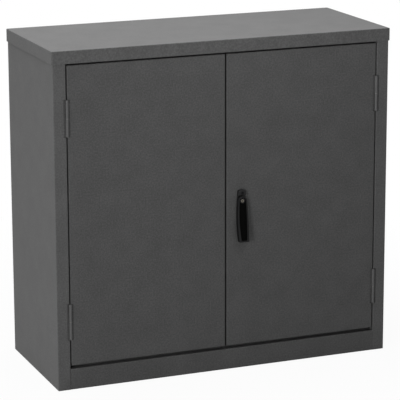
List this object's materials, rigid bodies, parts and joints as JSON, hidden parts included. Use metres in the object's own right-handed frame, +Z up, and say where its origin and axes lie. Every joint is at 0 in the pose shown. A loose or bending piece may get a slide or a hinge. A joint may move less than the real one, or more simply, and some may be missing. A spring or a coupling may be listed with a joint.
{
  "type": "tool cabinet with doors",
  "caption": "Low steel tool cabinet with a flat top, double doors on lift-off hinges, a key-locking turn handle working bolts at top and bottom, and adjustable shelves inside.",
  "frame": {"origin": "on the floor, under the centre of the whole cabinet's box with its handle", "axes": "+X to the right seen from the front, along the width; +Y from the doors to the back; +Z up"},
  "size_m": [0.9, 0.3928, 0.85],
  "materials": {
    "powder_coat": "dark grey fine-textured powder coat on sheet steel",
    "black_nylon": "black glass-filled nylon, fine grain",
    "black_nickel": "black nickel on die-cast zinc and steel",
    "satin_nickel": "satin nickel on brass",
    "zinc_plated_steel": "bright zinc-plated steel",
    "rubber": "matte black rubber"
  },
  "bodies": {
    "cabinet": {"top_cap": "powder_coat", "left_side_panel": "powder_coat", "right_side_panel": "powder_coat", "back_panel": "powder_coat", "header_rail": "powder_coat", "kick_rail": "powder_coat", "base_shelf": "powder_coat", "door_buffers": "rubber", "front_right_upright": "powder_coat", "front_left_upright": "powder_coat", "rear_right_upright": "powder_coat", "rear_left_upright": "powder_coat", "lower_shelf": "powder_coat", "lower_shelf_clips": "zinc_plated_steel", "upper_shelf": "powder_coat", "upper_shelf_clips": "zinc_plated_steel", "right_lower_hinge_frame_leaf": "powder_coat", "right_lower_hinge_pin": "zinc_plated_steel", "right_upper_hinge_frame_leaf": "powder_coat", "right_upper_hinge_pin": "zinc_plated_steel", "left_lower_hinge_frame_leaf": "powder_coat", "left_lower_hinge_pin": "zinc_plated_steel", "left_upper_hinge_frame_leaf": "powder_coat", "left_upper_hinge_pin": "zinc_plated_steel"},
    "left_door": {"left_door_panel": "powder_coat", "left_door_stiffener": "powder_coat", "left_lower_hinge_door_leaf": "powder_coat", "left_upper_hinge_door_leaf": "powder_coat"},
    "right_door": {"right_door_panel": "powder_coat", "right_door_stiffener": "powder_coat", "right_door_lock_channel": "powder_coat", "right_lower_hinge_door_leaf": "powder_coat", "right_upper_hinge_door_leaf": "powder_coat", "handle_escutcheon": "black_nylon", "escutcheon_screws": "black_nickel", "lock_bush": "zinc_plated_steel", "bush_nut": "zinc_plated_steel", "top_bolt_guide": "black_nylon", "bottom_bolt_guide": "black_nylon"},
    "handle": {"handle_lever": "black_nylon", "cylinder_sleeve": "black_nickel", "lock_spindle": "zinc_plated_steel", "crank_plate": "zinc_plated_steel", "crank_pins": "zinc_plated_steel", "spindle_nut": "zinc_plated_steel"},
    "key_plug": {"key_plug": "satin_nickel"},
    "top_bolt": {"top_bolt": "zinc_plated_steel"},
    "bottom_bolt": {"bottom_bolt": "zinc_plated_steel"}
  },
  "joints": [
    {"name": "left_door_swing", "type": "hinge", "parent": "cabinet", "child": "left_door", "pos_m": [-0.4135, -0.17333, 0.43], "axis": [0, 0, -1], "range_deg": [0, 170]},
    {"name": "right_door_swing", "type": "hinge", "parent": "cabinet", "child": "right_door", "pos_m": [0.4135, -0.17333, 0.43], "axis": [0, 0, 1], "range_deg": [0, 170]},
    {"name": "handle_turn", "type": "hinge", "parent": "right_door", "child": "handle", "pos_m": [0.041, -0.18293, 0.44], "axis": [0, -1, 0], "range_deg": [0, 90]},
    {"name": "key_turn", "type": "hinge", "parent": "handle", "child": "key_plug", "pos_m": [0.041, -0.18293, 0.44], "axis": [0, -1, 0], "range_deg": [0, 90]},
    {"name": "top_bolt_slide", "type": "slide", "parent": "right_door", "child": "top_bolt", "axis": [0, 0, -1], "range_m": [0, 0.0228]},
    {"name": "bottom_bolt_slide", "type": "slide", "parent": "right_door", "child": "bottom_bolt", "axis": [0, 0, 1], "range_m": [0, 0.0228]}
  ],
  "couplings": [
    {"joint": "top_bolt_slide", "follows": "handle_turn", "m_per_rad": 0.014405},
    {"joint": "bottom_bolt_slide", "follows": "handle_turn", "m_per_rad": 0.014405}
  ]
}
